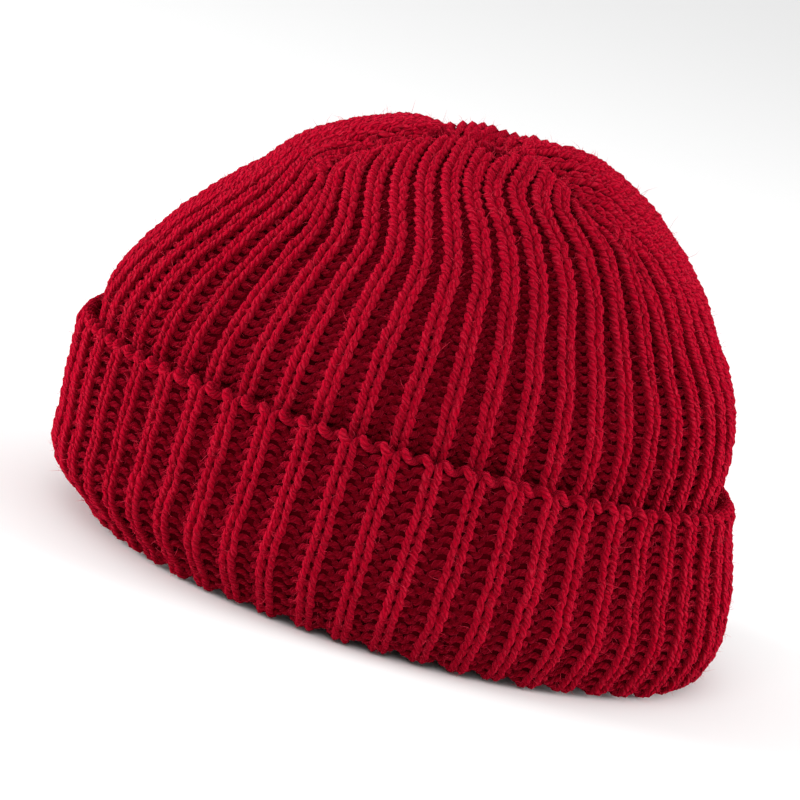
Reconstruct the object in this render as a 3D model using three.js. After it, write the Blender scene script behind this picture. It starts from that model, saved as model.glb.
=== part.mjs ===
// Ribbed merino beanie with a turned-up cuff, standing on its rim.
// Millimetres, +Z up, the front of the hat towards -Y, the origin on the floor at the middle of the rim.
// The crown is a tube of one-by-one rib that four darts close at the top, where the ribs gather in a dimple.
import * as THREE from "three";

// Driving sizes
const HAT_HEIGHT = 142; // floor to the highest hump of the crown
const BAND_RADIUS = 98.2; // rib tops of the crown where the cuff covers it
const CROWN_WALL = 5.6; // knitted wall of the crown, rib top to inner face
const CUFF_WALL = 5.2; // knitted wall of the cuff, rib top to inner face
const CUFF_HEIGHT = 56.7; // floor to the cuff's upper edge, taken all round
const CUFF_EDGE_WAVE = 2.1; // how much that edge rises at front and back and drops at the sides
const CUFF_EDGE_SLOPE = 1.4; // how much that edge drops on the right and rises on the left
const FOLD_REACH = 5.5; // how far the bottom fold rounds inwards
const FOLD_RISE = 6.5; // how far the bottom fold rounds upwards
const LIP_ROUND = 1.2; // rounding of the cuff's upper edge and of the fold's inner nose
const SEAT_GAP = 0.4; // clearance between crown and cuff
const RIB_COUNT = 52; // knit columns round the hat, thirteen to each quarter
const RIB_WIDTH = 4.6; // one knit column, where the fabric is stretched
const RIB_DEPTH = 2.4; // rib top to valley, where the fabric is stretched
const CLOSEST_PITCH = 6.5; // rib pitch on the crown once its ribs are drawn together
const DART_PITCH = 1; // room that is left for each rib that runs into a dart
const DRAWN_SHARPNESS = 8; // how suddenly the ribs change from fanning out to running side by side
const MOST_RIB_SHARE = 0.6; // widest part of the pitch that a rib top takes up near the gather
const VALLEY_SHARE = 0.55; // flat bottom of a valley, as a share of the way between two rib tops
const GATHER_REACH = 20; // radius inside which single ribs no longer show
const GATHER_WALL = 8; // bunched knitting under the gather
const GATHER_BUNCH = 28; // radius inside which the bunched knitting fills the wall out
const FOLD_PLATEAU = 0.45; // share of a fold's reach over which it keeps its depth
const FOLD_SHOWS_INSIDE = 0.5; // share of a fold's depth that shows on the inner face
const FOOT_RIB_SHARE = 0.4; // share of the rib depth that is left where the fold lies on the floor
const LIP_RIB_SHARE = 0.6; // share of the rib depth that is left on the cuff's upper edge
const MERINO_RED = 0x9c0420;

// The crown from its lower edge to the gather. Height is a share of the hat's height, the rest of the band radius.
// Lean moves the right side out and the left side in. Sideways and forward move the whole ring, and tilt raises
// its right side.
const CROWN_SECTIONS = [
  { height: 0.1, radius: 0.99, lean: 0.015, sideways: 0, forward: 0, tilt: 0 },
  { height: 0.21, radius: 0.993, lean: -0.012, sideways: 0, forward: 0, tilt: 0 },
  { height: 0.385, radius: 0.973, lean: -0.049, sideways: 0, forward: 0, tilt: 0 },
  { height: 0.461, radius: 0.978, lean: -0.046, sideways: 0, forward: 0, tilt: 0 },
  { height: 0.542, radius: 0.947, lean: -0.034, sideways: 0, forward: 0, tilt: 0 },
  { height: 0.627, radius: 0.881, lean: -0.02, sideways: 0, forward: 0, tilt: 0 },
  { height: 0.711, radius: 0.788, lean: -0.01, sideways: 0, forward: 0, tilt: 0 },
  { height: 0.796, radius: 0.684, lean: -0.002, sideways: 0.008, forward: 0.003, tilt: 0 },
  { height: 0.868, radius: 0.585, lean: -0.007, sideways: 0.009, forward: 0.008, tilt: 0 },
  { height: 0.926, radius: 0.466, lean: -0.001, sideways: 0.012, forward: 0.018, tilt: 0.004 },
  { height: 0.969, radius: 0.335, lean: 0, sideways: 0.008, forward: 0.038, tilt: 0.014 },
  { height: 0.989, radius: 0.195, lean: 0.008, sideways: -0.01, forward: 0.065, tilt: 0.021 },
  { height: 0.992, radius: 0.12, lean: 0, sideways: -0.042, forward: 0.092, tilt: 0.026 },
  { height: 0.964, radius: 0.06, lean: 0, sideways: -0.068, forward: 0.112, tilt: 0.018 },
];
const GATHER = { height: 0.925, radius: 0, lean: 0, sideways: -0.08, forward: 0.118, tilt: 0 };
const LOWEST_SECTION = { radius: 0.93, lean: 0.058, sideways: 0, forward: 0, tilt: 0 };

// Four darts close the crown, in order round it. Foot is the angle of a dart's lower end and head its angle
// beside the gather, in degrees from the front, positive to the right. It swings from one to the other between
// the radii inner and outer. These, reach and width are shares of the band radius, depth of the crown's wall.
const DARTS = [
  { name: "right front", foot: 47.7, head: 37, inner: 0.44, outer: 0.62, reach: 0.66, width: 0.06, depth: 0.7 },
  { name: "right back", foot: 137.7, head: 134, inner: 0.35, outer: 0.8, reach: 0.7, width: 0.06, depth: 0.62 },
  { name: "left back", foot: 227.7, head: 222, inner: 0.35, outer: 0.8, reach: 0.7, width: 0.06, depth: 0.62 },
  { name: "left front", foot: 317.7, head: 302, inner: 0.52, outer: 0.76, reach: 0.8, width: 0.06, depth: 0.62 },
];

// Puckers between the darts, with the same columns
const PUCKERS = [
  { name: "front", foot: 0, head: -4, inner: 0.35, outer: 0.8, reach: 0.36, width: 0.06, depth: 0.95 },
  { name: "right", foot: 88, head: 92, inner: 0.35, outer: 0.8, reach: 0.3, width: 0.045, depth: 0.41 },
  { name: "back", foot: 178, head: 176, inner: 0.35, outer: 0.8, reach: 0.36, width: 0.055, depth: 0.62 },
  { name: "left", foot: 264, head: 258, inner: 0.35, outer: 0.8, reach: 0.3, width: 0.045, depth: 0.41 },
];

const TURN = 2 * Math.PI;
const RIB_ANGLE = TURN / RIB_COUNT;
const CROWN_FOOT = CUFF_WALL + SEAT_GAP;

// Value of a rising curve that is 0 below the first edge and 1 above the second
const smooth = (low, high, value) => THREE.MathUtils.smoothstep(value, low, high);

// One ring of the crown in millimetres
function sectionSizes({ height, radius, lean, sideways, forward, tilt }) {
  return {
    height: height * HAT_HEIGHT,
    radius: radius * BAND_RADIUS,
    lean: lean * BAND_RADIUS,
    sideways: sideways * BAND_RADIUS,
    forward: forward * BAND_RADIUS,
    tilt: tilt * BAND_RADIUS,
  };
}

const crownSections = [
  sectionSizes({ ...LOWEST_SECTION, height: CROWN_FOOT / HAT_HEIGHT }),
  ...CROWN_SECTIONS.map(sectionSizes),
];

// Ring at any height under the shoulder, so that the cuff follows the crown
function sectionAt(height) {
  const above = crownSections.findIndex((section) => section.height > height);
  const next = crownSections[Math.max(above, 1)];
  const last = crownSections[Math.max(above, 1) - 1];
  const share = (height - last.height) / (next.height - last.height);
  const between = {};
  for (const size of Object.keys(next)) {
    between[size] = THREE.MathUtils.lerp(last[size], next[size], share);
  }
  return between;
}

// Outward direction of the crown's profile at a section, in the plane of radius and height
function profileNormal(index) {
  const before = crownSections[Math.max(index - 1, 0)];
  const after = crownSections[Math.min(index + 1, crownSections.length - 1)];
  const run = after.radius - before.radius;
  const rise = after.height - before.height;
  return new THREE.Vector2(rise, -run).normalize();
}

// Angle of a dart or pucker on a ring of the given radius
function foldAngle(fold, radius) {
  const share = smooth(fold.inner, fold.outer, radius / BAND_RADIUS);
  return THREE.MathUtils.degToRad(THREE.MathUtils.lerp(fold.head, fold.foot, share));
}

// How deep the darts and puckers press the crown in at a place round a ring
function foldDepth(turn, radius) {
  let depth = 0;
  for (const fold of [...DARTS, ...PUCKERS]) {
    const away = turn - foldAngle(fold, radius);
    const sideDistance = radius * Math.sin(away);
    const width = fold.width * BAND_RADIUS;
    const reach = fold.reach * BAND_RADIUS;
    const ownSide = smooth(0, 0.5, Math.cos(away));
    const along = ownSide * (1 - smooth(FOLD_PLATEAU, 1, radius / reach));
    depth += fold.depth * CROWN_WALL * along * Math.exp(-((sideDistance / width) ** 2));
  }
  return depth * smooth(0, 0.5 * GATHER_REACH, radius);
}

// Angle on a ring of a place counted in ribs from the front. Between two darts the ribs fan out low down.
// Once they are drawn together they run side by side, and the outer ones end in the darts.
function ribAngle(ribs, radius) {
  const perGore = RIB_COUNT / DARTS.length;
  const gore = Math.floor(ribs / perGore + 0.5);
  const fromMiddle = ribs - gore * perGore;
  const dartAt = (index) => {
    const turns = Math.floor(index / DARTS.length);
    return foldAngle(DARTS[index - turns * DARTS.length], radius) + turns * TURN;
  };
  const left = dartAt(gore - 1);
  const right = dartAt(gore);
  const half = (right - left) / 2;
  const drawn = (CLOSEST_PITCH * perGore) / 2 / half;
  const spread = (radius ** DRAWN_SHARPNESS + drawn ** DRAWN_SHARPNESS) ** (1 / DRAWN_SHARPNESS);
  const even = (Math.abs(fromMiddle) / perGore) * 2 * half;
  const sideBySide = Math.asin(Math.min(1, (Math.sin(even) * spread) / radius));
  const atDart = half - ((perGore / 2 - Math.abs(fromMiddle)) * DART_PITCH) / radius;
  return (left + right) / 2 + Math.sign(fromMiddle) * Math.min(sideBySide, atDart);
}

// Angles of the four corners of every rib on a ring, with the depth of each under the rib tops
function ribCorners(radius) {
  const top = Math.min(RIB_WIDTH / radius / RIB_ANGLE, MOST_RIB_SHARE) / 2;
  const valley = (VALLEY_SHARE * (1 - 2 * top)) / 2;
  const corners = [];
  for (let rib = 0; rib < RIB_COUNT; rib += 1) {
    const pitch = (ribAngle(rib + 0.5, radius) - ribAngle(rib - 0.5, radius)) * radius;
    const depth = RIB_DEPTH * Math.min(1, pitch / CLOSEST_PITCH);
    corners.push({ turn: ribAngle(rib - top, radius), depth: 0 });
    corners.push({ turn: ribAngle(rib + top, radius), depth: 0 });
    corners.push({ turn: ribAngle(rib + 0.5 - valley, radius), depth });
    corners.push({ turn: ribAngle(rib + 0.5 + valley, radius), depth });
  }
  return corners;
}

// Angles of a plain ring, one corner at the middle of each rib
function plainCorners() {
  return Array.from({ length: RIB_COUNT }, (_, rib) => ({ turn: rib * RIB_ANGLE, depth: 0 }));
}

// Point at an angle from the front on a ring of the given radius
function ringPoint(section, turn, radius, height) {
  const leaning = radius + section.lean * Math.sin(turn);
  return new THREE.Vector3(
    section.sideways + leaning * Math.sin(turn),
    -section.forward - leaning * Math.cos(turn),
    height,
  );
}

// Triangles between two closed rings of corner numbers, each going round from the front to the right.
// A ring of one corner is a pole.
function bandBetween(faces, first, second) {
  const a = first.length;
  const b = second.length;
  let i = 0;
  let j = 0;
  while (i < a || j < b) {
    const stepFirst = j === b || (i < a && (i + 1) * b <= (j + 1) * a);
    if (stepFirst) {
      if (a > 1) faces.push(first[i % a], first[(i + 1) % a], second[j % b]);
      i += 1;
    } else {
      if (b > 1) faces.push(first[i % a], second[(j + 1) % b], second[j % b]);
      j += 1;
    }
  }
}

// Closed mesh of rings in order: up the outside, or down the inside
function skin(rings, closesOnItself) {
  const corners = [];
  const numbered = rings.map((ring) =>
    ring.map((point) => {
      corners.push(point);
      return corners.length - 1;
    }),
  );
  const faces = [];
  const last = closesOnItself ? numbered.length : numbered.length - 1;
  for (let k = 0; k < last; k += 1) {
    bandBetween(faces, numbered[k], numbered[(k + 1) % numbered.length]);
  }
  const geometry = new THREE.BufferGeometry().setFromPoints(corners);
  geometry.setIndex(faces);
  geometry.computeVertexNormals();
  return geometry;
}

const merino = () =>
  new THREE.MeshStandardMaterial({ color: MERINO_RED, roughness: 0.95, metalness: 0 });

// Ribbed outer ring of the crown at a section
function crownOuterRing(section, index) {
  const normal = profileNormal(index);
  const corners = section.radius > GATHER_REACH ? ribCorners(section.radius) : plainCorners();
  return corners.map(({ turn, depth }) => {
    const pressed = depth + foldDepth(turn, section.radius);
    const radius = section.radius - pressed * normal.x;
    const height = section.height + section.tilt * Math.sin(turn) - pressed * normal.y;
    return ringPoint(section, turn, radius, height);
  });
}

// Smooth inner ring of the crown, one wall thickness in from the rib tops
function crownInnerRing(section, index) {
  const normal = profileNormal(index);
  return plainCorners().map(({ turn }) => {
    const pressed = CROWN_WALL + FOLD_SHOWS_INSIDE * foldDepth(turn, section.radius);
    const height = section.height + section.tilt * Math.sin(turn) - pressed * normal.y;
    return ringPoint(section, turn, section.radius - pressed * normal.x, height);
  });
}

// Crown: knitted wall from the cuff's fold up to the gather, hollow and open below
function makeCrown() {
  const gather = sectionSizes(GATHER);
  const outerPole = [ringPoint(gather, 0, 0, gather.height)];
  const innerPole = [ringPoint(gather, 0, 0, gather.height - GATHER_WALL)];
  const outer = crownSections.map(crownOuterRing);
  const inner = crownSections.map(crownInnerRing);
  // The lower edge is level, and the inner wall stops short of the gather, which bunches under the dimple
  for (const ring of [outer[0], inner[0]]) {
    for (const point of ring) point.z = CROWN_FOOT;
  }
  const innerShown = inner.filter((_, index) => crownSections[index].radius > GATHER_BUNCH);
  const mesh = new THREE.Mesh(
    skin([innerPole, ...innerShown.reverse(), ...outer, outerPole], false),
    merino(),
  );
  mesh.name = "crown";
  return mesh;
}

// Height of the cuff's upper edge at an angle from the front
const cuffTop = (turn) =>
  CUFF_HEIGHT + CUFF_EDGE_WAVE * Math.cos(2 * turn) - CUFF_EDGE_SLOPE * Math.sin(turn);

// Cuff: band outside the crown, and the fold that turns under the crown's lower edge
function makeCuff() {
  const outward = SEAT_GAP + CUFF_WALL;
  const foot = crownSections[0];
  const rings = [];
  // Ring at a height for each angle, its radius measured from the crown's rib tops there
  const addRing = (corners, heightAt, beyondCrown, ribShare) => {
    rings.push(
      corners.map(({ turn, depth }) => {
        const height = heightAt(turn);
        const around = height > foot.height ? sectionAt(height) : foot;
        const radius = around.radius + beyondCrown - depth * ribShare;
        return ringPoint(around, turn, radius, height);
      }),
    );
  };
  const ribbed = ribCorners(BAND_RADIUS + outward);
  const plain = plainCorners();
  const lowestTop = CUFF_HEIGHT - CUFF_EDGE_WAVE - CUFF_EDGE_SLOPE - LIP_ROUND;
  const covered = crownSections.slice(1).filter((section) => section.height < lowestTop);
  const footEdge = outward - FOLD_REACH;
  addRing(ribbed, () => 0, footEdge, FOOT_RIB_SHARE);
  for (const angle of [30, 60, 90]) {
    const rounded = THREE.MathUtils.degToRad(angle);
    const reach = footEdge + FOLD_REACH * Math.sin(rounded);
    addRing(ribbed, () => FOLD_RISE * (1 - Math.cos(rounded)), reach, 1);
  }
  for (const section of covered) addRing(ribbed, () => section.height, outward, 1);
  addRing(ribbed, (turn) => cuffTop(turn) - LIP_ROUND, outward, 1);
  addRing(ribbed, cuffTop, outward - LIP_ROUND, LIP_RIB_SHARE);
  addRing(plain, cuffTop, SEAT_GAP + LIP_ROUND, 0);
  addRing(plain, (turn) => cuffTop(turn) - LIP_ROUND, SEAT_GAP, 0);
  for (const section of covered.reverse()) addRing(plain, () => section.height, SEAT_GAP, 0);
  addRing(plain, () => CUFF_WALL, SEAT_GAP, 0);
  addRing(plain, () => CUFF_WALL, LIP_ROUND - CROWN_WALL, 0);
  addRing(plain, () => CUFF_WALL - LIP_ROUND, -CROWN_WALL, 0);
  addRing(plain, () => LIP_ROUND, -CROWN_WALL, 0);
  addRing(plain, () => 0, LIP_ROUND - CROWN_WALL, 0);
  const mesh = new THREE.Mesh(skin(rings, true), merino());
  mesh.name = "cuff";
  return mesh;
}

const beanie = new THREE.Group();
const cuff = makeCuff();
beanie.add(makeCrown(), cuff);

// The origin is under the middle of the cuff, which leans a little with the crown
const middle = new THREE.Box3().setFromObject(cuff).getCenter(new THREE.Vector3());
beanie.children.forEach((mesh) => mesh.position.set(-middle.x, -middle.y, 0));

export default beanie;
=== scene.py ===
"""Ribbed merino beanie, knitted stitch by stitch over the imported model.

Shapes are worked out in millimetres and turned into metres when a mesh is made. +Z is up, the front of the
hat is towards -Y, and angles are counted from the front, positive to the right.
"""

import math

import bpy
import numpy as np
from mathutils import Matrix, Vector


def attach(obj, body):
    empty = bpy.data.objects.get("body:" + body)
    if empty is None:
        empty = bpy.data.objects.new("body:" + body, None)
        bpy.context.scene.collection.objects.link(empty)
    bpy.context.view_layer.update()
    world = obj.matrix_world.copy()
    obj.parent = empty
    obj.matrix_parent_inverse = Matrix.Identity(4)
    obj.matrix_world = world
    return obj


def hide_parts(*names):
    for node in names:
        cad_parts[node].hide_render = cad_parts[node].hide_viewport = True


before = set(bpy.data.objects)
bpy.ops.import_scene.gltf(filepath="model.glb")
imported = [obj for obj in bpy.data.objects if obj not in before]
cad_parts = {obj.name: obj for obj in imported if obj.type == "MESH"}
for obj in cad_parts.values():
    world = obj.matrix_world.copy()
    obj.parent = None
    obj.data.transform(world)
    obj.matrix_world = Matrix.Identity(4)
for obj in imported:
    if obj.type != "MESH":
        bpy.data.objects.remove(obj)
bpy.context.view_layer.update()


# Crown
# Tube of one-by-one rib in merino yarn, closed at the top by four darts that meet in a gathered dimple.
# Each round is one yarn that runs through all its stitches, and hangs in the loops of the round below.
MM = 0.001
TURN = 2 * math.pi
HAT_HEIGHT = 142.0
BAND_RADIUS = 98.2
SIDE_SHIFT = 0.8
CROWN_WALL = 5.6
RIB_COUNT = 52
RIBS_PER_GORE = 13
CLOSEST_PITCH = 6.5
DRAWN_SHARPNESS = 8
DART_PITCH = 0.08
ROW_PITCH = 3.2
YARN_RADIUS = 1.14

# Height is a share of the hat's height. Radius, lean, sideways, forward and tilt are shares of the band
# radius. These are the part's own sections, from the fold of the cuff up to the gather.
CROWN_SECTIONS = np.array(
    [
        [0.0394, 0.93, 0.058, 0, 0, 0],
        [0.1, 0.99, 0.015, 0, 0, 0],
        [0.21, 0.993, -0.012, 0, 0, 0],
        [0.385, 0.973, -0.049, 0, 0, 0],
        [0.461, 0.978, -0.046, 0, 0, 0],
        [0.542, 0.947, -0.034, 0, 0, 0],
        [0.627, 0.881, -0.02, 0, 0, 0],
        [0.711, 0.788, -0.01, 0, 0, 0],
        [0.796, 0.684, -0.002, 0.008, 0.003, 0],
        [0.868, 0.585, -0.007, 0.009, 0.008, 0],
        [0.926, 0.466, -0.001, 0.012, 0.018, 0.004],
        [0.969, 0.335, 0, 0.008, 0.038, 0.014],
        [0.989, 0.195, 0.008, -0.01, 0.065, 0.021],
        [0.992, 0.12, 0, -0.042, 0.092, 0.026],
        [0.964, 0.06, 0, -0.068, 0.112, 0.018],
        [0.925, 0.01, 0, -0.08, 0.118, 0],
    ]
)
SECTIONS_MM = CROWN_SECTIONS * np.array([HAT_HEIGHT] + [BAND_RADIUS] * 5)
STATIONS = np.concatenate([[0], np.cumsum(np.hypot(*np.diff(SECTIONS_MM[:, :2], axis=0).T))])

# Four darts in order round the crown. A dart swings from its foot's angle to its head's, in degrees, between
# the radii outer and inner. Radii, reach and width are shares of the band radius, and depth of the wall.
DARTS = (
    {"foot": 47.7, "head": 37, "inner": 0.44, "outer": 0.62, "reach": 0.66, "width": 0.06, "depth": 0.7},
    {"foot": 137.7, "head": 134, "inner": 0.35, "outer": 0.8, "reach": 0.7, "width": 0.06, "depth": 0.62},
    {"foot": 227.7, "head": 222, "inner": 0.35, "outer": 0.8, "reach": 0.7, "width": 0.06, "depth": 0.62},
    {"foot": 317.7, "head": 302, "inner": 0.52, "outer": 0.76, "reach": 0.8, "width": 0.06, "depth": 0.62},
)
PUCKERS = (
    {"foot": 0, "head": -4, "inner": 0.35, "outer": 0.8, "reach": 0.36, "width": 0.06, "depth": 0.95},
    {"foot": 88, "head": 92, "inner": 0.35, "outer": 0.8, "reach": 0.3, "width": 0.045, "depth": 0.41},
    {"foot": 178, "head": 176, "inner": 0.35, "outer": 0.8, "reach": 0.36, "width": 0.055, "depth": 0.62},
    {"foot": 264, "head": 258, "inner": 0.35, "outer": 0.8, "reach": 0.3, "width": 0.045, "depth": 0.41},
)
DART_FEET = np.radians([dart["foot"] for dart in DARTS])
DART_HEADS = np.radians([dart["head"] for dart in DARTS])
DART_INNER = np.array([dart["inner"] for dart in DARTS])
DART_OUTER = np.array([dart["outer"] for dart in DARTS])
FIRST_RIB = math.radians(2.7)

# The rows lie level low down, and run straight across each gore where the ribs are drawn together
STRAIGHT_ROWS = {"share": 0.8, "from_radius": 72.0, "full_radius": 40.0}

# A stitch, in millimetres: how far its legs stand apart and lean, and how far legs, loop and the yarn between
# stitches stand out of the middle of the wall. Where ribs are drawn together, the second row is added.
STRETCHED_STITCH = {"leg": 1.38, "lean": 0.25, "legs_out": 1.55, "loop_out": 0.4}
DRAWN_MORE = {"leg": 0.08, "lean": 0.5, "legs_out": 0.5, "loop_out": -0.1}
LEAN_WITH_WIDTH = 0.11
BETWEEN_OUT = 0.5
LOOP_REACH = 0.875 * ROW_PITCH
DRAWN_WIDTH = 3.4
STRETCHED_WIDTH = 6.2

# The yarn is cut where it runs into a dart: it thins from the second distance inside the dart to the first
CUT_YARN = (-0.4, 1.2)


def smooth(low, high, value):
    """Rising curve, 0 below the first edge and 1 above the second: 3 t^2 - 2 t^3 of the share t between."""
    share = np.clip((value - low) / (high - low), 0, 1)
    return share * share * (3 - 2 * share)


def along(stations, values, places):
    """Smooth curve through the rows of values at their stations, read at places of any shape.

    Between two stations it is the cubic that meets both values with the slope of the chords around each.
    """
    slopes = np.gradient(values, stations, axis=0)
    left = np.clip(np.searchsorted(stations, places) - 1, 0, len(stations) - 2)
    width = (stations[left + 1] - stations[left])[..., None]
    t = np.clip((places - stations[left])[..., None] / width, 0, 1)
    start = values[left] * (2 * t**3 - 3 * t**2 + 1) + slopes[left] * width * (t**3 - 2 * t**2 + t)
    end = values[left + 1] * (3 * t**2 - 2 * t**3) + slopes[left + 1] * width * (t**3 - t**2)
    return start + end


def unit(vectors):
    """Vectors scaled to length one."""
    return vectors / np.maximum(np.linalg.norm(vectors, axis=-1, keepdims=True), 1e-9)


FINE_STATIONS = np.linspace(STATIONS[0], STATIONS[-1], 1200)
FINE_RADII = along(STATIONS, SECTIONS_MM, FINE_STATIONS)[:, 1]
WIDEST = int(np.argmax(FINE_RADII))


def dart_angle(number, radius):
    """Angle of a dart on a ring: from its head's angle near the gather to its foot's further out."""
    turns = np.floor_divide(number, 4)
    index = (number - 4 * turns).astype(int)
    share = smooth(DART_INNER[index], DART_OUTER[index], radius / BAND_RADIUS)
    return DART_HEADS[index] + (DART_FEET[index] - DART_HEADS[index]) * share + turns * TURN


def rib_lines(ribs, station):
    """Angle, ring radius and distance inside the dart of places counted in ribs, on the row at a station.

    Low down the ribs fan out evenly. Drawn together, a rib keeps its distance from the gore's middle line:
    sin(angle) = sin(even angle) * spread / radius. The row's radius grows as 1 / cos(share of the angle).
    """
    row_radius = along(STATIONS, SECTIONS_MM, station)[..., 1]
    gore = np.floor(ribs / RIBS_PER_GORE + 0.5)
    from_middle = ribs - gore * RIBS_PER_GORE
    straight = STRAIGHT_ROWS["share"] * (
        1 - smooth(STRAIGHT_ROWS["full_radius"], STRAIGHT_ROWS["from_radius"], row_radius)
    )
    radius = row_radius
    for _ in range(14):
        left = dart_angle(gore - 1, radius)
        right = dart_angle(gore, radius)
        half = (right - left) / 2
        even = np.abs(from_middle) / RIBS_PER_GORE * 2 * half
        drawn = CLOSEST_PITCH * RIBS_PER_GORE / 2 / half
        spread = (radius**DRAWN_SHARPNESS + drawn**DRAWN_SHARPNESS) ** (1 / DRAWN_SHARPNESS)
        across = np.sin(even) * spread / np.maximum(radius, 1)
        side = np.arcsin(np.minimum(1, across)) + np.maximum(0, across - 1)
        at_dart = half - (RIBS_PER_GORE / 2 - np.abs(from_middle)) * DART_PITCH / np.maximum(radius, 1)
        reach = np.minimum(side, at_dart)
        wanted = row_radius / np.cos(straight * reach / half * math.radians(45))
        radius = (radius + wanted) / 2
    inside = (half - side) * radius
    return (left + right) / 2 + np.sign(from_middle) * reach, radius, inside


def fold_depth(turn, radius):
    """How deep the darts and puckers press the crown in: a bell across each fold, fading out along it."""
    depth = np.zeros_like(turn)
    for fold in DARTS + PUCKERS:
        share = smooth(fold["inner"], fold["outer"], radius / BAND_RADIUS)
        away = turn - np.radians(fold["head"] + (fold["foot"] - fold["head"]) * share)
        aside = radius * np.sin(away) / (fold["width"] * BAND_RADIUS)
        fades = 1 - smooth(0.45, 1, radius / (fold["reach"] * BAND_RADIUS))
        depth += fold["depth"] * CROWN_WALL * smooth(0, 0.5, np.cos(away)) * fades * np.exp(-(aside**2))
    return depth * smooth(0, 10, radius)


def crown_surface(ribs, station):
    """Points on the surface of the rib tops, in millimetres."""
    turn, radius, _ = rib_lines(ribs, station)
    place = np.where(
        radius > along(STATIONS, SECTIONS_MM, station)[..., 1] + 0.01,
        np.interp(-radius, -FINE_RADII[WIDEST:], FINE_STATIONS[WIDEST:]),
        station,
    )
    height, around, lean, sideways, forward, tilt = np.moveaxis(along(STATIONS, SECTIONS_MM, place), -1, 0)
    ahead = along(STATIONS, SECTIONS_MM, np.minimum(place + 1.5, STATIONS[-1]))
    behind = along(STATIONS, SECTIONS_MM, np.maximum(place - 1.5, 0))
    out = unit(np.stack([ahead[..., 0] - behind[..., 0], behind[..., 1] - ahead[..., 1]], axis=-1))
    pressed = fold_depth(turn, around)
    reach = around - pressed * out[..., 0] + lean * np.sin(turn)
    return np.stack(
        [
            SIDE_SHIFT + sideways + reach * np.sin(turn),
            -forward - reach * np.cos(turn),
            height + tilt * np.sin(turn) - pressed * out[..., 1],
        ],
        axis=-1,
    )


def wander(rows, columns, reach_rows, reach_columns, rng):
    """Smooth noise of unit size on a grid, closed both ways: white noise with its short waves faded."""
    waves = np.fft.rfft2(rng.standard_normal((rows, columns)))
    down = np.fft.fftfreq(rows)[:, None] * reach_rows
    across = np.fft.rfftfreq(columns)[None, :] * reach_columns
    field = np.fft.irfft2(waves * np.exp(-((TURN**2) * (down**2 + across**2)) / 2), (rows, columns))
    return field / field.std()


def outward_of(surface, ribs, places):
    """Outward direction of a surface: the cross product of its directions along a row and up a column."""
    across = surface(ribs + 0.03, places) - surface(ribs - 0.03, places)
    upward = surface(ribs, places + 0.2) - surface(ribs, places - 0.2)
    return unit(np.cross(across, upward))


def knit_rows(surface, stations, sections, wall_depth, rng, opens=None, flat=None):
    """Yarn centrelines of rows of one-by-one rib on a surface.

    Over one stitch of width w the yarn angle t goes once round. To the side the yarn runs
    w (t - pi) / 2 pi + lean sin 2t - (leg - w / 4) sin t, and along the column -reach cos t. Its depth is
    legs (1 - cos 2t) / 2 + loop (1 - cos t) / 2 + between sin t/2, to the front of a knit stitch and to the
    back of a purl one. Flat gives the share of that depth which is left at a station.
    Returns the points, the outward directions, the yarn's own radius, which sections are knitted, and how
    far each lies outside the middle of the wall.
    """
    rows = len(stations)
    wales = 2 * RIB_COUNT
    station = np.repeat(stations[:, None], wales, axis=1)
    wale = np.repeat(np.arange(wales)[None, :], rows, axis=0).astype(float)
    step = surface((wale + 0.25) / 2, station) - surface((wale - 0.25) / 2, station)
    width = np.maximum(np.linalg.norm(step, axis=-1) / 0.5, 0.8)[..., None]
    t = TURN * np.arange(sections) / sections
    drawn = 1 - smooth(DRAWN_WIDTH, STRETCHED_WIDTH, width)
    stitch = {size: STRETCHED_STITCH[size] + DRAWN_MORE[size] * drawn for size in STRETCHED_STITCH}
    lean = stitch["lean"] + LEAN_WITH_WIDTH * width
    aside = width * (t - math.pi) / TURN + lean * np.sin(2 * t) - (stitch["leg"] - width / 4) * np.sin(t)
    depth = stitch["legs_out"] * (1 - np.cos(2 * t)) / 2 + stitch["loop_out"] * (1 - np.cos(t)) / 2
    depth = depth + BETWEEN_OUT * np.sin(t / 2)
    depth = depth * np.where(np.arange(wales) % 2 == 0, 1, -1)[None, :, None]
    count = wales * sections

    def uneven(amount, over_rows, over_stitches):
        """Wandering of the yarn by an amount, smooth over some rows and some stitches."""
        field = wander(rows, count, over_rows, sections * over_stitches, rng)
        return amount * field.reshape(aside.shape)

    aside = aside + uneven(0.15, 0.3, 0.2)
    aside = aside + uneven(0.3, 2.5, 1.2)
    ahead = uneven(0.16, 0.3, 0.2) - LOOP_REACH * np.cos(t)
    depth = depth + uneven(0.13, 0.3, 0.2)
    depth = depth + uneven(0.16, 1.5, 1.5)
    ribs = ((wale[..., None] + aside / width) / 2).reshape(rows, count)
    places = (station[..., None] + ahead).reshape(rows, count)
    if flat is not None:
        depth = depth * flat(station)[..., None]
    depth = depth.reshape(rows, count)
    outward = outward_of(surface, ribs, places)
    points = surface(ribs, places) + (depth - wall_depth)[..., None] * outward
    thicker = np.repeat(0.07 * drawn[..., 0], sections, axis=1) - 0.04 * np.cos(np.tile(t, wales))
    radius = YARN_RADIUS * (1 + thicker + 0.05 * wander(rows, count, 0.3, sections / 2, rng))
    kept = np.ones((rows, count), bool)
    if opens is not None:
        inside = opens(ribs, places)
        radius = radius * smooth(*CUT_YARN, inside)
        kept = inside > CUT_YARN[0]
    return points, outward, radius, kept, depth


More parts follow.
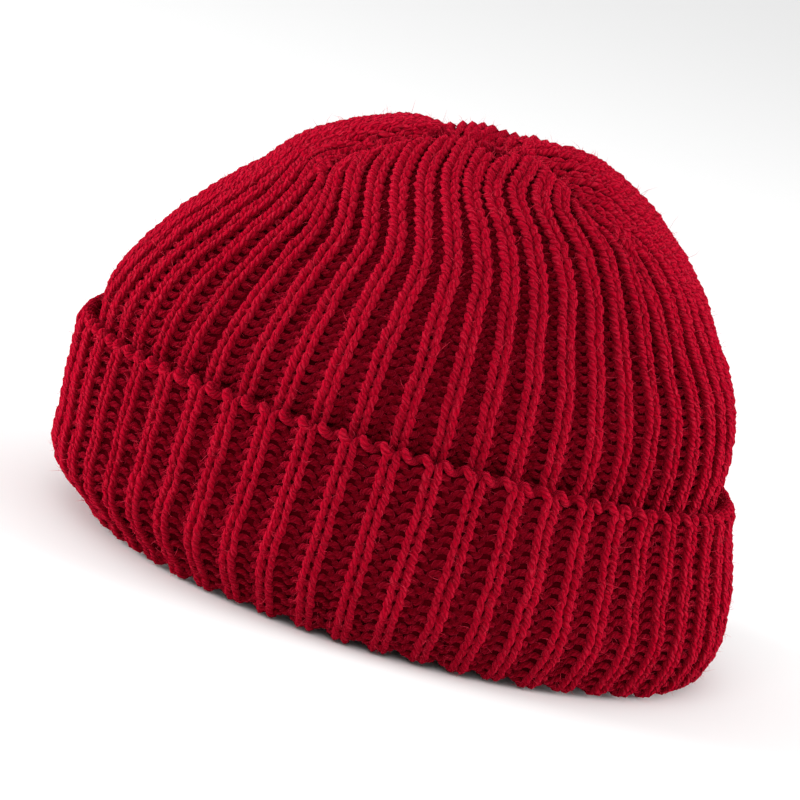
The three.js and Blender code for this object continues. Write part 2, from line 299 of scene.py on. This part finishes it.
def new_mesh(name, vertices, faces, face_uv=None, height=None):
    """Smooth mesh object from corners in millimetres and triangles.

    The yarn's UV map and the corners' height over the middle of the wall are added where they are given.
    """
    mesh = bpy.data.meshes.new(name)
    mesh.vertices.add(len(vertices))
    mesh.vertices.foreach_set("co", (vertices * MM).astype(np.float32).ravel())
    mesh.loops.add(faces.size)
    mesh.loops.foreach_set("vertex_index", faces.astype(np.int32).ravel())
    mesh.polygons.add(len(faces))
    mesh.polygons.foreach_set("loop_start", np.arange(0, faces.size, 3, dtype=np.int32))
    mesh.update(calc_edges=True)
    mesh.shade_smooth()
    if face_uv is not None:
        layer = mesh.uv_layers.new(name="yarn")
        layer.data.foreach_set("uv", face_uv.astype(np.float32).ravel())
    if height is not None:
        values = mesh.attributes.new("wall_height", "FLOAT", "POINT")
        values.data.foreach_set("value", height.astype(np.float32))
    piece = bpy.data.objects.new(name, mesh)
    bpy.context.scene.collection.objects.link(piece)
    return piece


def yarn_mesh(name, points, outward, radius, kept, depth, sides):
    """Mesh object of closed yarn rings along the rows of points. Its UV map is the yarn's length and turn.

    A ring of corners stands square to the yarn at each section. Where the radius is zero the ring is one
    corner, and sections that aren't kept have no faces.
    """
    rows, count = radius.shape
    along_yarn = unit(np.roll(points, -1, axis=1) - np.roll(points, 1, axis=1))
    first = unit(outward - (outward * along_yarn).sum(-1, keepdims=True) * along_yarn)
    second = np.cross(along_yarn, first)
    angles = (TURN * np.arange(sides) / sides)[:, None]
    ring = first[:, :, None] * np.cos(angles) + second[:, :, None] * np.sin(angles)
    corners = points[:, :, None] + ring * radius[:, :, None, None]
    height = depth[:, :, None] + (ring * outward[:, :, None]).sum(-1) * radius[:, :, None]
    number = np.arange(rows * count * sides).reshape(rows, count, sides)
    number = np.where(radius[:, :, None] > 1e-6, number, number[:, :, :1])
    steps = np.linalg.norm(np.roll(points, -1, axis=1) - points, axis=-1)
    length = np.concatenate([np.zeros((rows, 1)), np.cumsum(steps, axis=1)], axis=1)
    length = length + np.random.default_rng(5).uniform(0, 30, (rows, 1))
    there = np.roll(number, -1, axis=1)
    quad = np.stack([number, np.roll(number, -1, 2), np.roll(there, -1, 2), there], axis=-1)
    u_here = np.broadcast_to(length[:, :-1, None], number.shape)
    u_there = np.broadcast_to(length[:, 1:, None], number.shape)
    v_side = np.broadcast_to(np.arange(sides) / sides, number.shape)
    v_beside = v_side + 1 / sides
    places = ((u_here, v_side), (u_here, v_beside), (u_there, v_beside), (u_there, v_side))
    uv = np.stack([np.stack(place, axis=-1) for place in places], axis=-2)
    shown = kept & np.roll(kept, -1, axis=1)
    quad = quad[shown].reshape(-1, 4)
    uv = uv[shown].reshape(-1, 4, 2)
    faces = np.concatenate([quad[:, [0, 1, 2]], quad[:, [0, 2, 3]]])
    face_uv = np.concatenate([uv[:, [0, 1, 2]], uv[:, [0, 2, 3]]])
    proper = (faces != np.roll(faces, -1, axis=1)).all(axis=1)
    used, faces = np.unique(faces[proper], return_inverse=True)
    faces = faces.reshape(-1, 3)
    return new_mesh(name, corners.reshape(-1, 3)[used], faces, face_uv[proper], height.ravel()[used])


def stray_fibres(name, count, points, outward, radius, kept, depth, rng):
    """Mesh object of fine fibres that stand out of the yarn, each a bent needle with three sides.

    A fibre starts in the yarn and runs start + s along + s^2 across, with s from 0 to its length.
    """
    places = np.argwhere(kept & (radius > 0.8 * YARN_RADIUS) & (depth > -0.5))
    row, column = places[rng.integers(0, len(places), count)].T
    out = outward[row, column]
    loose = unit(rng.standard_normal((count, 3)))
    along_fibre = unit(out * rng.uniform(0.3, 1.3, (count, 1)) + loose)
    across = unit(np.cross(along_fibre, unit(rng.standard_normal((count, 3)))))
    start = points[row, column] + 0.6 * radius[row, column][:, None] * unit(out + 0.8 * loose)
    length = rng.uniform(1.2, 3.0, (count, 1)) * (1 + (rng.random((count, 1)) < 0.1))
    bend = rng.uniform(0.1, 0.7, (count, 1)) * length
    side = np.cross(along_fibre, across)
    thick = rng.uniform(0.03, 0.055, (count, 1, 1))
    angles = (TURN * np.arange(3) / 3)[:, None]
    ring = (across[:, None] * np.cos(angles) + side[:, None] * np.sin(angles)) * thick
    middle = start + 0.55 * length * along_fibre + 0.3 * bend * across
    end = start + length * along_fibre + bend * across
    corners = np.concatenate([start[:, None] + ring, middle[:, None] + ring, end[:, None]], axis=1)
    corners = corners[corners[..., 2].min(axis=1) > 0.1]
    lower = [[0, 2, 1], [0, 1, 4], [0, 4, 3], [1, 2, 5], [1, 5, 4], [2, 0, 3], [2, 3, 5]]
    needle = np.array(lower + [[3, 4, 6], [4, 5, 6], [5, 3, 6]])
    faces = (needle[None] + 7 * np.arange(len(corners))[:, None, None]).reshape(-1, 3)
    return new_mesh(name, corners.reshape(-1, 3), faces)


def yarn_twist_group():
    """Node group for plied wool: from the yarn's UV a height for bump, and masks of grooves and fibres."""
    group = bpy.data.node_groups.new("yarn_twist", "ShaderNodeTree")
    face = group.interface
    face.new_socket("UV", in_out="INPUT", socket_type="NodeSocketVector")
    for label, value in (("Plies", 4.0), ("Lay", 5.8)):
        socket = face.new_socket(label, in_out="INPUT", socket_type="NodeSocketFloat")
        socket.default_value = value
    for label in ("Height", "Groove", "Fibre"):
        face.new_socket(label, in_out="OUTPUT", socket_type="NodeSocketFloat")
    nodes, link = group.nodes, group.links.new
    inputs = nodes.new("NodeGroupInput")
    outputs = nodes.new("NodeGroupOutput")
    split = nodes.new("ShaderNodeSeparateXYZ")
    link(inputs.outputs["UV"], split.inputs[0])

    def maths(operation, first, second=None):
        node = nodes.new("ShaderNodeMath")
        node.operation = operation
        for socket, value in zip(node.inputs, (first, second)):
            if isinstance(value, (int, float)):
                socket.default_value = value
            elif value is not None:
                link(value, socket)
        return node.outputs[0]

    turns = maths("ADD", split.outputs["Y"], maths("DIVIDE", split.outputs["X"], inputs.outputs["Lay"]))
    uneven = nodes.new("ShaderNodeTexNoise")
    uneven.inputs["Scale"].default_value = 0.45
    link(inputs.outputs["UV"], uneven.inputs["Vector"])
    turns = maths("ADD", turns, maths("MULTIPLY", uneven.outputs["Fac"], 0.5))
    phase = maths("MULTIPLY", turns, inputs.outputs["Plies"])
    ply = maths("ABSOLUTE", maths("SINE", maths("MULTIPLY", phase, math.pi)))
    rounded = maths("POWER", ply, 0.8)
    strands = nodes.new("ShaderNodeCombineXYZ")
    link(maths("MULTIPLY", phase, 5.0), strands.inputs["X"])
    link(maths("MULTIPLY", split.outputs["X"], 0.4), strands.inputs["Y"])
    noise = nodes.new("ShaderNodeTexNoise")
    noise.inputs["Scale"].default_value = 1.0
    noise.inputs["Detail"].default_value = 3.0
    noise.inputs["Roughness"].default_value = 0.6
    link(strands.outputs[0], noise.inputs["Vector"])
    link(maths("ADD", rounded, maths("MULTIPLY", noise.outputs["Fac"], 0.6)), outputs.inputs["Height"])
    link(maths("SUBTRACT", 1.0, rounded), outputs.inputs["Groove"])
    link(noise.outputs["Fac"], outputs.inputs["Fibre"])
    return group


YARN_TWIST = yarn_twist_group()


def mixed(nodes, link, factor, first, second):
    """Colour mixed from two colours or sockets by a factor socket."""
    mix = nodes.new("ShaderNodeMix")
    mix.data_type = "RGBA"
    link(factor, mix.inputs["Factor"])
    for label, colour in (("A", first), ("B", second)):
        if isinstance(colour, tuple):
            mix.inputs[label].default_value = (*colour, 1)
        else:
            link(colour, mix.inputs[label])
    return mix.outputs["Result"]


def ranged(nodes, link, value, low, high, result):
    """Value stretched so that low gives 0 and high gives the result, and held inside them."""
    stretch = nodes.new("ShaderNodeMapRange")
    stretch.inputs["From Min"].default_value = low
    stretch.inputs["From Max"].default_value = high
    stretch.inputs["To Max"].default_value = result
    link(value, stretch.inputs["Value"])
    return stretch.outputs["Result"]


def merino_material():
    """Dyed merino yarn: matt, plies and fibres in relief, with painted shade between the plies and deep in
    the wall, and painted highlights on the fibres.
    """
    material = bpy.data.materials.new("merino_wool")
    material.use_nodes = True
    nodes, link = material.node_tree.nodes, material.node_tree.links.new
    shader = nodes["Principled BSDF"]
    shader.inputs["Roughness"].default_value = 0.9
    shader.inputs["Sheen Weight"].default_value = 0.5
    shader.inputs["Sheen Roughness"].default_value = 0.45
    shader.inputs["Sheen Tint"].default_value = (1.0, 0.02, 0.07, 1.0)
    shader.inputs["Specular IOR Level"].default_value = 0.0
    coordinates = nodes.new("ShaderNodeUVMap")
    coordinates.uv_map = "yarn"
    twist = nodes.new("ShaderNodeGroup")
    twist.node_tree = YARN_TWIST
    link(coordinates.outputs["UV"], twist.inputs["UV"])
    place = nodes.new("ShaderNodeTexCoord")
    patches = nodes.new("ShaderNodeTexNoise")
    patches.inputs["Scale"].default_value = 160.0
    patches.inputs["Detail"].default_value = 2.0
    link(place.outputs["Object"], patches.inputs["Vector"])
    tone = mixed(nodes, link, patches.outputs["Fac"], (0.27, 0.0002, 0.008), (0.38, 0.001, 0.015))
    # Painted highlights on the fibres: strokes along the plies are lightened towards a pale pink.
    fibres = ranged(nodes, link, twist.outputs["Fibre"], 0.48, 0.8, 0.8)
    tone = mixed(nodes, link, fibres, tone, (0.56, 0.03, 0.062))
    # Painted shade between the plies: the colour darkens towards near-black along the twist's grooves.
    grooves = ranged(nodes, link, twist.outputs["Groove"], 0.1, 1.0, 0.6)
    tone = mixed(nodes, link, grooves, tone, (0.1, 0.0, 0.002))
    # Painted shade deep in the wall: the colour darkens towards near-black as the yarn's height over the
    # middle of the wall falls.
    wall = nodes.new("ShaderNodeAttribute")
    wall.attribute_name = "wall_height"
    deep = ranged(nodes, link, wall.outputs["Fac"], 3.2, -0.4, 0.72)
    tone = mixed(nodes, link, deep, tone, (0.045, 0.0, 0.001))
    link(tone, shader.inputs["Base Color"])
    bump = nodes.new("ShaderNodeBump")
    bump.inputs["Strength"].default_value = 0.9
    bump.inputs["Distance"].default_value = 0.0005
    link(twist.outputs["Height"], bump.inputs["Height"])
    link(bump.outputs["Normal"], shader.inputs["Normal"])
    return material


def plain_wool(name, dark, light, scale):
    """Matt wool in two tones that change over a fine noise."""
    material = bpy.data.materials.new(name)
    material.use_nodes = True
    nodes, link = material.node_tree.nodes, material.node_tree.links.new
    shader = nodes["Principled BSDF"]
    shader.inputs["Roughness"].default_value = 1.0
    shader.inputs["Specular IOR Level"].default_value = 0.0
    place = nodes.new("ShaderNodeTexCoord")
    fibres = nodes.new("ShaderNodeTexNoise")
    fibres.inputs["Scale"].default_value = scale
    link(place.outputs["Object"], fibres.inputs["Vector"])
    link(mixed(nodes, link, fibres.outputs["Fac"], dark, light), shader.inputs["Base Color"])
    return material


MERINO = merino_material()
# Near-black wool for the sheets inside the walls: painted shade in the gaps between the stitches.
SHADE_SHEET_WOOL = plain_wool("painted_shade_wool", (0.02, 0.0001, 0.0008), (0.09, 0.0004, 0.004), 1800.0)
LOOSE_FIBRE = plain_wool("loose_fibre", (0.5, 0.012, 0.03), (0.75, 0.05, 0.09), 90.0)


def finish_piece(piece, material, node=None):
    """Finish for a piece that rides on the hat's body, and takes a node's place where one is named."""
    piece.data.materials.append(material)
    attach(piece, "root")
    if node:
        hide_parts(node)


SHEET_WAVE = 1.4
SHEET_THICKNESS = 0.2


def shade_sheet(name, surface, stations, wall_depth, opens=None):
    """Thin closed sheet in the wall, near-black: painted shade in the gaps between the stitches.

    It lies under the legs of the knit columns and behind the loops of the purl columns: cos(turn of the rib),
    which fades out where the columns end at a dart.
    """
    ribs, places = np.meshgrid(np.arange(0, RIB_COUNT, 0.25), stations)
    base = surface(ribs, places)
    outward = outward_of(surface, ribs, places)
    wave = SHEET_WAVE * np.cos(TURN * ribs)
    if opens is not None:
        wave = wave * smooth(-1, 1, opens(ribs, places))
    depth = (wall_depth - wave)[..., None]
    rows, columns = ribs.shape
    loop = np.concatenate([base - depth * outward, (base - (depth + SHEET_THICKNESS) * outward)[::-1]])
    number = np.arange(2 * rows * columns).reshape(2 * rows, columns)
    above = np.roll(number, -1, axis=0)
    quad = np.stack([number, np.roll(number, -1, 1), np.roll(above, -1, 1), above], axis=-1).reshape(-1, 4)
    faces = np.concatenate([quad[:, [0, 1, 2]], quad[:, [0, 2, 3]]])
    return new_mesh(name, loop.reshape(-1, 3), faces)


def crown_opens(ribs, station):
    """Distance in millimetres from a place on a row to the dart that ends it."""
    return rib_lines(ribs, station)[2]


def joined(parts):
    """Knitted bands one above the other, as one set of arrays."""
    return [np.concatenate(arrays) for arrays in zip(*parts)]


FIRST_ROW_HEIGHT = 9.6
LAST_ROW_RADIUS = 2.2
CROWN_YARN_DEPTH = 3.1
CROWN_SHEET_DEPTH = 3.4
SHEET_STEP = 5.2
first_station = float(np.interp(FIRST_ROW_HEIGHT, SECTIONS_MM[:6, 0], STATIONS[:6]))
last_station = float(np.interp(-LAST_ROW_RADIUS, -FINE_RADII[WIDEST:], FINE_STATIONS[WIDEST:]))
crown_stations = np.arange(first_station, last_station, ROW_PITCH)
rng = np.random.default_rng(11)
CROWN_BANDS = (
    {"name": "crown_knit_inside", "rows": (0, 13), "sections": 8, "sides": 3},
    {"name": "crown_knit_side", "rows": (13, 26), "sections": 12, "sides": 5},
    {"name": "crown_knit_shoulder", "rows": (26, 39), "sections": 12, "sides": 5},
    {"name": "crown_knit_top", "rows": (39, len(crown_stations)), "sections": 12, "sides": 5},
)
outer_bands = []
for band in CROWN_BANDS:
    rows = crown_stations[slice(*band["rows"])]
    knitted = knit_rows(crown_surface, rows, band["sections"], CROWN_YARN_DEPTH, rng, crown_opens)
    finish_piece(yarn_mesh(band["name"], *knitted, band["sides"]), MERINO, "crown")
    if band["rows"][0] > 0:
        outer_bands.append(knitted)

# Dark sheet inside the crown's wall: painted shade in the gaps between the stitches.
sheet_stations = np.append(np.arange(first_station, STATIONS[-1] - 2, SHEET_STEP), STATIONS[-1])
sheet = shade_sheet("crown_shade_sheet", crown_surface, sheet_stations, CROWN_SHEET_DEPTH, crown_opens)
finish_piece(sheet, SHADE_SHEET_WOOL)
finish_piece(stray_fibres("crown_fibres", 8500, *joined(outer_bands), rng), LOOSE_FIBRE)


# Cuff
# The same rib turned up outside the crown, with the rounded fold that the hat stands on and its cast-on
# edge on top. It was knitted first, so its stitches stand upside down.
CUFF_HEIGHT = 56.7
CUFF_EDGE_WAVE = 2.1
CUFF_EDGE_SLOPE = 1.4
CUFF_MIDDLE = 3.0
FOLD_TOP = 6.5
FOLD_LOW = 2.9
FOLD_INNER = -2.8
FOLD_LENGTH = 10.3
CAST_ON_RADIUS = 1.35
CAST_ON_STATION = 0.6
CUFF_FIRST_ROW = 2.8
CUFF_SHEET_DEPTH = 0.1
CUFF_END = CUFF_HEIGHT - FOLD_TOP + FOLD_LENGTH


def cuff_surface(ribs, station):
    """Points on the middle of the cuff's wall, the station counted down from the upper edge, round the fold.

    The fold is half an ellipse from the middle of the cuff's wall to the middle of the crown's. Ribs are
    counted to the left, so that the outward side stays outward on rows that run down.
    """
    turn = FIRST_RIB - ribs / RIB_COUNT * TURN
    top = CUFF_HEIGHT + CUFF_EDGE_WAVE * np.cos(2 * turn) - CUFF_EDGE_SLOPE * np.sin(turn)
    straight = CUFF_HEIGHT - FOLD_TOP
    round_fold = np.clip((station - straight) / FOLD_LENGTH, 0, 1) * math.pi
    height = np.where(
        station > straight,
        FOLD_TOP - (FOLD_TOP - FOLD_LOW) * np.sin(round_fold),
        top + (FOLD_TOP - top) * station / straight,
    )
    centre = (CUFF_MIDDLE + FOLD_INNER) / 2
    offset = centre + (CUFF_MIDDLE - centre) * np.cos(round_fold)
    sizes = along(SECTIONS_MM[:6, 0], SECTIONS_MM[:6], np.maximum(height, SECTIONS_MM[0, 0]))
    reach = sizes[..., 1] + offset + sizes[..., 2] * np.sin(turn)
    return np.stack([SIDE_SHIFT + reach * np.sin(turn), -reach * np.cos(turn), height], axis=-1)


def cast_on(surface, station, rng):
    """Cast-on yarn: a helix round the edge, one turn to a stitch, that lies a little flat on the fabric."""
    sections = 12
    stitch = np.arange(2 * RIB_COUNT * sections)[None, :] / sections
    t = TURN * (stitch % 1)
    ribs = stitch / 2 + 0.06 * np.sin(t)
    places = station + CAST_ON_RADIUS * 0.8 * np.cos(t)
    knit = np.cos(TURN * ribs)
    outward = outward_of(surface, ribs, places)
    depth = 0.9 * CAST_ON_RADIUS * np.sin(t) + 0.5 * knit
    points = surface(ribs, places) + depth[..., None] * outward
    radius = YARN_RADIUS * (1.05 + 0.07 * wander(1, ribs.shape[1], 0.3, sections, rng))
    return points, outward, radius, np.ones(ribs.shape, bool), depth + 1


def fold_flat(station):
    """Share of the rib's depth that is left towards the bottom fold, where the rib is pulled flat."""
    return 1 - 0.45 * smooth(CUFF_HEIGHT - FOLD_TOP - 8, CUFF_HEIGHT - FOLD_TOP + 3, station)


cuff_stations = np.arange(CUFF_FIRST_ROW, CUFF_END, ROW_PITCH)
CUFF_BANDS = (
    {"name": "cuff_knit_edge", "rows": (0, 9)},
    {"name": "cuff_knit_fold", "rows": (9, len(cuff_stations))},
)
outer_bands = []
for band in CUFF_BANDS:
    rows = cuff_stations[slice(*band["rows"])]
    knitted = knit_rows(cuff_surface, rows, 12, 0.0, rng, flat=fold_flat)
    finish_piece(yarn_mesh(band["name"], *knitted, 5), MERINO, "cuff")
    outer_bands.append(knitted)

finish_piece(yarn_mesh("cuff_cast_on", *cast_on(cuff_surface, CAST_ON_STATION, rng), 6), MERINO, "cuff")
# Dark sheet inside the cuff's wall: painted shade in the gaps between the stitches.
sheet_stations = np.linspace(2.0, CUFF_END, 22)
finish_piece(shade_sheet("cuff_shade_sheet", cuff_surface, sheet_stations, CUFF_SHEET_DEPTH), SHADE_SHEET_WOOL)
finish_piece(stray_fibres("cuff_fibres", 5000, *joined(outer_bands), rng), LOOSE_FIBRE)


# Floor
# A plain pale studio floor that the rim stands on by itself.
# It is staging only, and not part of the hat.
bpy.ops.mesh.primitive_plane_add(size=40, location=(0, 0, 0))
floor = bpy.context.object
floor.name = "studio_floor"
floor_material = bpy.data.materials.new("studio_white")
floor_material.use_nodes = True
floor_material.node_tree.nodes["Principled BSDF"].inputs["Base Color"].default_value = (0.9, 0.9, 0.9, 1)
floor_material.node_tree.nodes["Principled BSDF"].inputs["Roughness"].default_value = 0.9
floor.data.materials.append(floor_material)


# Camera
# At the photograph's angle: a little above the rim and a metre and a half away.
# It is rolled, because the hat leans in the photograph and stands level here.
ELEVATION = math.radians(9.47)
AZIMUTH = math.radians(-1.45)
ROLL = math.radians(16.57)
DISTANCE = 1.466
PIXELS_PER_METRE = 3376.0
OFF_CENTRE = (38.8, -39.4)
aim = Vector((SIDE_SHIFT * MM, 0, 0.07))
forward = Vector((-math.sin(AZIMUTH), math.cos(AZIMUTH), 0)) * math.cos(ELEVATION)
forward = forward - Vector((0, 0, math.sin(ELEVATION)))
level = forward.cross(Vector((0, 0, 1))).normalized()
upright = level.cross(forward)
right = level * math.cos(ROLL) + upright * math.sin(ROLL)
up = upright * math.cos(ROLL) - level * math.sin(ROLL)
place = aim - forward * DISTANCE
aim = aim - right * (OFF_CENTRE[0] / PIXELS_PER_METRE) + up * (OFF_CENTRE[1] / PIXELS_PER_METRE)
looking = (aim - place).normalized()
right = (right - looking * right.dot(looking)).normalized()
up = right.cross(looking)
camera_data = bpy.data.cameras.new("camera")
camera_data.sensor_width = 36
camera_data.lens = PIXELS_PER_METRE * DISTANCE / 800 * 36
camera_data.clip_start = 0.05
camera = bpy.data.objects.new("camera", camera_data)
rotation = Matrix((right, up, -looking)).transposed().to_4x4()
camera.matrix_world = Matrix.Translation(place) @ rotation
bpy.context.scene.collection.objects.link(camera)
bpy.context.scene.camera = camera


# Light
# Soft white daylight from all round, one large soft lamp in front and above, and one low on each side.
# The side lamps brighten the edges of the hat, as they do in the photograph.
def soft_lamp(name, place, size, power, target=(0, 0, 0.07)):
    """Square area lamp of a size in metres, turned towards a target."""
    data = bpy.data.lights.new(name, "AREA")
    data.size = size
    data.energy = power
    lamp = bpy.data.objects.new(name, data)
    direction = Vector(target) - Vector(place)
    lamp.matrix_world = Matrix.Translation(place) @ direction.to_track_quat("-Z", "Y").to_matrix().to_4x4()
    bpy.context.scene.collection.objects.link(lamp)


soft_lamp("key_lamp", (-0.4, -1.7, 1.2), 1.0, 11.5)
soft_lamp("left_lamp", (-1.8, -0.1, 0.4), 1.2, 46)
soft_lamp("right_lamp", (1.8, -0.1, 0.4), 1.2, 38)
world = bpy.data.worlds.new("studio")
world.use_nodes = True
world.node_tree.nodes["Background"].inputs["Color"].default_value = (1, 1, 1, 1)
world.node_tree.nodes["Background"].inputs["Strength"].default_value = 0.83
bpy.context.scene.world = world
bpy.context.scene.view_settings.view_transform = "Standard"
